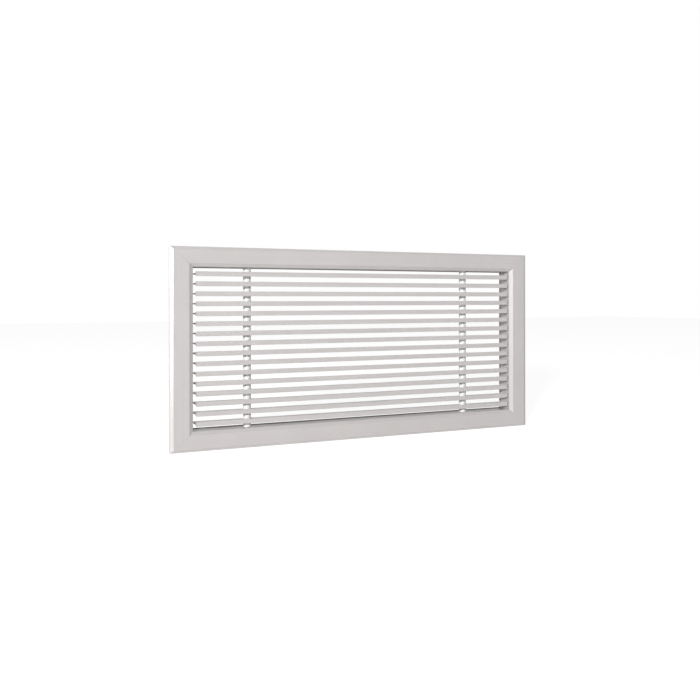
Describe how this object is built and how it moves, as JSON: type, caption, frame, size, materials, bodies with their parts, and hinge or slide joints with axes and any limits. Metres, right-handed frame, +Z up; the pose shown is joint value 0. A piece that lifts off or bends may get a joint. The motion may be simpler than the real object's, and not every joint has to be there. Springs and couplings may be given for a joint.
{
  "type": "ventilation grille",
  "caption": "Rectangular linear bar air grille: mitred flange frame with chamfered edge and rear neck, fixed horizontal bars on upright support tubes, spring clips for a wall opening.",
  "frame": {"origin": "middle of the opening, in the plane of the wall that the flange's rear edge bears on", "axes": "+X along the bars to the right seen from the room, +Y back into the wall, +Z up"},
  "size_m": [0.535, 0.0265, 0.255],
  "materials": {
    "frame_anodised": "natural satin anodised extrusion",
    "bar_anodised": "natural satin anodised extrusion",
    "tube_aluminium": "bright drawn tube",
    "key_aluminium": "mill finish plate",
    "screw_steel": "zinc plated",
    "clip_steel": "bright spring steel strip",
    "rivet_aluminium": "bright blind rivet"
  },
  "bodies": {
    "root": {"frame_top": "frame_anodised", "frame_bottom": "frame_anodised", "frame_left": "frame_anodised", "frame_right": "frame_anodised", "corner_key_upper_left": "key_aluminium", "corner_key_upper_right": "key_aluminium", "corner_key_lower_left": "key_aluminium", "corner_key_lower_right": "key_aluminium", "bar_01": "bar_anodised", "bar_02": "bar_anodised", "bar_03": "bar_anodised", "bar_04": "bar_anodised", "bar_05": "bar_anodised", "bar_06": "bar_anodised", "bar_07": "bar_anodised", "bar_08": "bar_anodised", "bar_09": "bar_anodised", "bar_10": "bar_anodised", "bar_11": "bar_anodised", "bar_12": "bar_anodised", "bar_13": "bar_anodised", "bar_14": "bar_anodised", "bar_15": "bar_anodised", "bar_16": "bar_anodised", "support_tube_left": "tube_aluminium", "spring_clip_left": "clip_steel", "support_tube_right": "tube_aluminium", "spring_clip_right": "clip_steel", "tube_screws": "screw_steel", "clip_rivets": "rivet_aluminium"}
  },
  "joints": []
}
